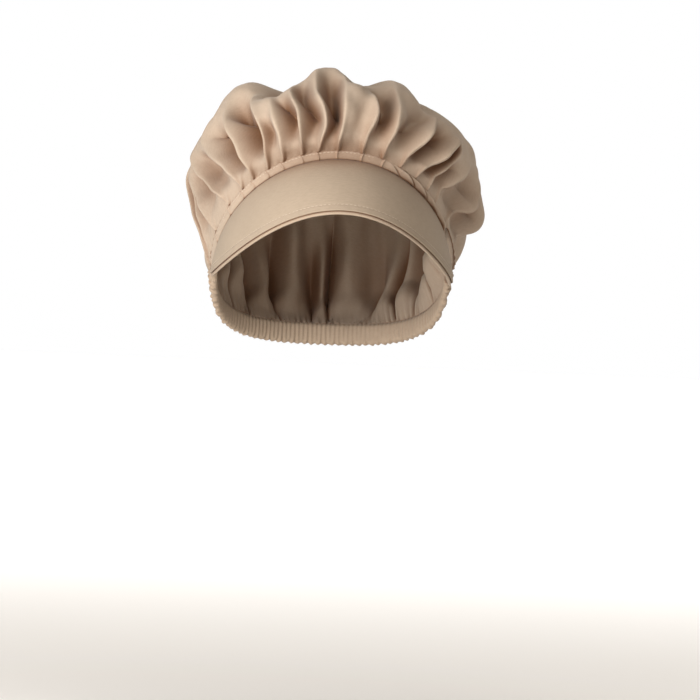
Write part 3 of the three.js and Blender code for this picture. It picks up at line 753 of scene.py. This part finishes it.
def stitch_row(name, material, path, outward, sizes):
    """A row of thread stitches along a path of points, as short rounded beads of thread."""
    length, gap, radius = sizes
    steps = np.linalg.norm(np.diff(path, axis=0), axis=1)
    place = np.concatenate([[0], np.cumsum(steps)])
    starts = np.arange(gap, place[-1] - length - gap, length + gap)
    points, faces = [], []
    sides = STITCH_SIDES
    turn = np.arange(sides) * 2 * math.pi / sides
    for begin in starts:
        base = len(points)
        for along, wide, lift in STITCH_SECTIONS:
            s = begin + along * length
            at = np.array([np.interp(s, place, axis) for axis in path.T])
            ahead = np.array([np.interp(s + STITCH_AHEAD, place, axis) for axis in path.T])
            n = unit(np.array([np.interp(s, place, axis) for axis in outward.T]))
            t = unit(ahead - at)
            side = np.cross(n, t)
            for a in turn:
                offset = side * math.cos(a) + n * math.sin(a)
                points.append(at + n * (lift * radius) + offset * (radius * wide))
        for r in range(len(STITCH_SECTIONS) - 1):
            for k in range(sides):
                p, q = base + r * sides + k, base + r * sides + (k + 1) % sides
                faces.append([p, q, q + sides, p + sides])
        faces.append([base + k for k in range(sides)][::-1])
        faces.append([base + (len(STITCH_SECTIONS) - 1) * sides + k for k in range(sides)])
    return make_object(name, np.array(points), faces, material)


def node(tree, kind, inputs=None, **settings):
    """A shader node with its settings and inputs, given by name or place."""
    made = tree.nodes.new(kind)
    for key, value in settings.items():
        setattr(made, key, value)
    for key, value in (inputs or {}).items():
        if isinstance(value, bpy.types.NodeSocket):
            tree.links.new(value, made.inputs[key])
        else:
            made.inputs[key].default_value = value
    return made


def ramp(tree, factor, stops):
    made = node(tree, "ShaderNodeValToRGB", {"Fac": factor})
    elements = made.color_ramp.elements
    while len(elements) < len(stops):
        elements.new(0.5)
    for element, (place, colour) in zip(elements, stops):
        element.position = place
        element.color = (*colour, 1)
    return made


def shades(colour, stops):
    """The stops of a ramp that makes a colour darker and lighter by their factors."""
    return [(place, tuple(min(1, c * factor) for c in colour)) for place, factor in stops]


def multiply(tree, first, second):
    """The product of two colours."""
    made = node(tree, "ShaderNodeMix", data_type="RGBA", blend_type="MULTIPLY")
    made.inputs["Factor"].default_value = 1.0
    tree.links.new(first, made.inputs["A"])
    tree.links.new(second, made.inputs["B"])
    return made.outputs["Result"]


def empty_material(name):
    """A material without nodes, and its node tree."""
    material = bpy.data.materials.new(name)
    material.use_nodes = True
    material.node_tree.nodes.clear()
    return material, material.node_tree


def twill_material(name, colour, sheen):
    """Cotton twill: fine diagonal wales and slubs, faint mottling, a soft sheen, and painted shade in its
    folds.
    """
    material, tree = empty_material(name)
    uv = node(tree, "ShaderNodeUVMap", uv_map="cloth")
    place = node(tree, "ShaderNodeTexCoord")
    slant = node(tree, "ShaderNodeMapping", {"Vector": uv.outputs["UV"]})
    slant.inputs["Rotation"].default_value = (0, 0, math.radians(WALE_SLANT))
    wales = node(
        tree,
        "ShaderNodeTexWave",
        {"Vector": slant.outputs["Vector"], "Scale": WALES_PER_M * WAVE_UNIT, "Distortion": 1.0,
         "Detail": 1.0, "Detail Scale": 1.0},
        wave_type="BANDS",
        bands_direction="X",
    )
    threads = node(
        tree,
        "ShaderNodeTexNoise",
        {"Vector": uv.outputs["UV"], "Scale": THREADS_PER_M, "Detail": 3.0, "Roughness": 0.6},
    )
    stretch = node(tree, "ShaderNodeMapping", {"Vector": uv.outputs["UV"]})
    stretch.inputs["Scale"].default_value = (1, SLUB_STRETCH, 1)
    slubs = node(
        tree,
        "ShaderNodeTexNoise",
        {"Vector": stretch.outputs["Vector"], "Scale": SLUBS_PER_M, "Detail": 2.0, "Roughness": 0.5},
    )
    mottle = node(
        tree,
        "ShaderNodeTexNoise",
        {"Vector": place.outputs["Object"], "Scale": MOTTLE_PER_M, "Detail": 4.0, "Roughness": 0.6},
    )
    base = ramp(tree, mottle.outputs["Fac"], shades(colour, MOTTLE_STOPS))
    woven = ramp(tree, slubs.outputs["Fac"], SLUB_STOPS)
    grain = ramp(tree, wales.outputs["Fac"], WALE_STOPS)
    # Painted shade: ambient occlusion makes the colour deeper and warmer in creases and hollows.
    crease_shade_ao = node(tree, "ShaderNodeAmbientOcclusion", {"Distance": CREASE_SHADE_REACH}, samples=CREASE_SHADE_RAYS)
    depth = ramp(tree, crease_shade_ao.outputs["AO"], [(CREASE_SHADE_FULL, CREASE_SHADE_TINT), (CREASE_SHADE_NONE, WHITE)])
    tint = base.outputs["Color"]
    for layer in (woven, grain, depth):
        tint = multiply(tree, tint, layer.outputs["Color"])
    rough = node(
        tree,
        "ShaderNodeMapRange",
        {"Value": threads.outputs["Fac"], "From Min": 0.3, "From Max": 0.7, "To Min": 0.78, "To Max": 0.95},
    )
    wale_bump = node(
        tree,
        "ShaderNodeBump",
        {"Height": wales.outputs["Fac"], "Strength": WEAVE_STRENGTH, "Distance": WALE_DEEP},
    )
    slub_bump = node(
        tree,
        "ShaderNodeBump",
        {"Height": slubs.outputs["Fac"], "Strength": WEAVE_STRENGTH, "Distance": SLUB_DEEP,
         "Normal": wale_bump.outputs["Normal"]},
    )
    soft_bump = node(
        tree,
        "ShaderNodeBump",
        {"Height": mottle.outputs["Fac"], "Strength": SOFT_STRENGTH, "Distance": SOFT_DEEP,
         "Normal": slub_bump.outputs["Normal"]},
    )
    shader = node(
        tree,
        "ShaderNodeBsdfPrincipled",
        {"Base Color": tint, "Roughness": rough.outputs["Result"],
         "Normal": soft_bump.outputs["Normal"]},
    )
    shader.inputs["Specular IOR Level"].default_value = CLOTH_GLOSS
    shader.inputs["Sheen Weight"].default_value = sheen
    shader.inputs["Sheen Roughness"].default_value = SHEEN_BROAD
    shader.inputs["Sheen Tint"].default_value = SHEEN_TINT
    node(tree, "ShaderNodeOutputMaterial", {"Surface": shader.outputs["BSDF"]})
    return material


def thread_material(name, colour):
    """Sewing thread: twisted, a little glossier than the cloth."""
    material, tree = empty_material(name)
    place = node(tree, "ShaderNodeTexCoord")
    twist = node(
        tree,
        "ShaderNodeTexNoise",
        {"Vector": place.outputs["Object"], "Scale": TWIST_PER_M, "Detail": 2.0, "Roughness": 0.5},
    )
    tint = ramp(tree, twist.outputs["Fac"], shades(colour, THREAD_STOPS))
    bump = node(
        tree,
        "ShaderNodeBump",
        {"Height": twist.outputs["Fac"], "Strength": TWIST_STRENGTH, "Distance": TWIST_DEEP},
    )
    shader = node(
        tree,
        "ShaderNodeBsdfPrincipled",
        {"Base Color": tint.outputs["Color"], "Roughness": THREAD_ROUGH,
         "Normal": bump.outputs["Normal"]},
    )
    node(tree, "ShaderNodeOutputMaterial", {"Surface": shader.outputs["BSDF"]})
    return material


def floor_material(name, colour):
    """A painted floor, with faint unevenness, that glows brighter in the distance as painted light."""
    material, tree = empty_material(name)
    place = node(tree, "ShaderNodeTexCoord")
    noise = node(tree, "ShaderNodeTexNoise", {"Vector": place.outputs["Object"], "Scale": FLOOR_PER_M})
    tint = ramp(tree, noise.outputs["Fac"], shades(colour, FLOOR_STOPS))
    reach = node(tree, "ShaderNodeVectorMath", {0: place.outputs["Object"]}, operation="LENGTH")
    # Painted light: the floor glows, the more so the further it is from the cap.
    glow = node(
        tree,
        "ShaderNodeMapRange",
        {"Value": reach.outputs["Value"], "From Min": FLOOR_GLOW_FROM, "From Max": FLOOR_GLOW_TO,
         "To Min": 0.0, "To Max": FLOOR_GLOW},
    )
    shader = node(
        tree,
        "ShaderNodeBsdfPrincipled",
        {"Base Color": tint.outputs["Color"], "Roughness": FLOOR_ROUGH,
         "Emission Strength": glow.outputs["Result"]},
    )
    shader.inputs["Emission Color"].default_value = (*WHITE, 1)
    node(tree, "ShaderNodeOutputMaterial", {"Surface": shader.outputs["BSDF"]})
    return material


def soft_light(name, azimuth, elevation, spread, strength, colour):
    """A far, wide light; azimuth 0 is the front, and positive towards +X."""
    light = bpy.data.lights.new(name, "SUN")
    light.energy = strength
    light.color = colour
    light.angle = math.radians(spread)
    made = bpy.data.objects.new(name, light)
    turn, rise = math.radians(azimuth), math.radians(elevation)
    source = Vector((math.sin(turn) * math.cos(rise), -math.cos(turn) * math.cos(rise), math.sin(rise)))
    made.rotation_euler = (-source).to_track_quat("-Z", "Y").to_euler()
    bpy.context.scene.collection.objects.link(made)


def key_light():
    light = bpy.data.lights.new("key", "AREA")
    light.size = KEY_SIDE
    light.energy = KEY_POWER
    made = bpy.data.objects.new("key", light)
    made.location = KEY_AT
    made.rotation_euler = (Vector(KEY_AIM) - Vector(KEY_AT)).to_track_quat("-Z", "Y").to_euler()
    bpy.context.scene.collection.objects.link(made)


def studio():
    """A pale floor under the cap that glows in the distance as painted light, soft light and a pale
    surround.
    """
    scene = bpy.context.scene
    mesh = bpy.data.meshes.new("floor")
    sides = ((-1, -1), (1, -1), (1, 1), (-1, 1))
    corners = [(x * FLOOR_REACH, y * FLOOR_REACH, FLOOR_Z) for x, y in sides]
    mesh.from_pydata(corners, [], [(0, 1, 2, 3)])
    mesh.materials.append(floor_material("floor", FLOOR_COLOUR))
    floor = bpy.data.objects.new("floor", mesh)
    scene.collection.objects.link(floor)
    world = bpy.data.worlds.new("studio")
    world.use_nodes = True
    tree = world.node_tree
    place = node(tree, "ShaderNodeTexCoord")
    axes = node(tree, "ShaderNodeSeparateXYZ", {"Vector": place.outputs["Generated"]})
    level = node(tree, "ShaderNodeMapRange", {"Value": axes.outputs["Z"], "From Min": HORIZON_LOW,
                                              "From Max": HORIZON_TOP, "To Min": HORIZON,
                                              "To Max": OVERHEAD})
    background = tree.nodes["Background"]
    background.inputs["Color"].default_value = (*WHITE, 1)
    tree.links.new(level.outputs["Result"], background.inputs["Strength"])
    scene.world = world
    key_light()
    for row in LIGHTS:
        soft_light(*row)
    scene.view_settings.view_transform = "Standard"


def photo_camera():
    """The camera of the photograph, which looks level and is rolled a little."""
    azimuth, roll = math.radians(CAMERA_AZ), math.radians(CAMERA_ROLL)
    forward = Vector((-math.sin(azimuth), math.cos(azimuth), 0))
    right = Vector((math.cos(azimuth), math.sin(azimuth), 0))
    up = Vector((0, 0, 1))
    x = right * math.cos(roll) + up * math.sin(roll)
    y = -right * math.sin(roll) + up * math.cos(roll)
    turn = Matrix((x, y, -forward)).transposed().to_4x4()
    lens = bpy.data.cameras.new("camera")
    lens.sensor_width = SENSOR
    lens.lens = SENSOR * FOCAL_PIXELS / PICTURE_PIXELS
    lens.clip_end = CAMERA_FAR
    camera = bpy.data.objects.new("camera", lens)
    camera.matrix_world = Matrix.Translation(CAMERA_AT) @ turn
    bpy.context.scene.collection.objects.link(camera)
    bpy.context.scene.camera = camera


twill = twill_material("twill", TWILL, SHEEN)
# The peak: the twill painted darker as painted shade, with the pressed cloth's lower sheen.
pressed = twill_material("twill_pressed_shaded", TWILL_PEAK_SHADED, SHEEN_PRESSED)
twill_under = twill_material("twill_under", TWILL_UNDER, SHEEN)
thread = thread_material("thread", THREAD)

crown = crown_object(twill)
band = band_object(twill)
peak = peak_ply("peak_cloth", pressed, SEAT / 2, SEAT / 2 + PLY, 0)
facing = peak_ply("facing_cloth", twill_under, -SEAT / 2 - FACING_PLY, -SEAT / 2, FACING_MARGIN)
casing = casing_object(twill_under)

share = np.linspace(-TOPSTITCH_END, TOPSTITCH_END, TOPSTITCH_POINTS)
inset = 1 - TOPSTITCH_IN / peak_width(share)
zero = 0 * share
line = peak_surface(share, inset, zero, SEAT / 2 + PLY + puckers(share, inset) + TOPSTITCH_OFF)
topstitch = stitch_row("peak_topstitch", thread, line, peak_normal(share, inset), TOPSTITCH)

deg = np.linspace(BAND_LEFT + GATHER_STITCH_END, ROLL_FROM, GATHER_POINTS)[:, None]
face = 1 - GATHER_STITCH_IN / (band_top(deg) + BAND_COVER - BAND_LOW)
heights = mix(BAND_LOW, band_top(deg) + BAND_COVER, face)
line = rim_points(np.radians(deg[:, 0]), heights, BAND_HALF + pleats(deg, face))[:, 0]
outward = rim_frame(np.radians(deg[:, 0]))[3]
gather_stitch = stitch_row("gather_stitch", thread, line, outward, GATHER_STITCH)

for piece, name in ((crown, "crown"), (band, "gather_band"), (peak, "peak"), (facing, "peak_facing"),
                    (casing, "elastic_casing")):
    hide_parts(name)

studio()
photo_camera()
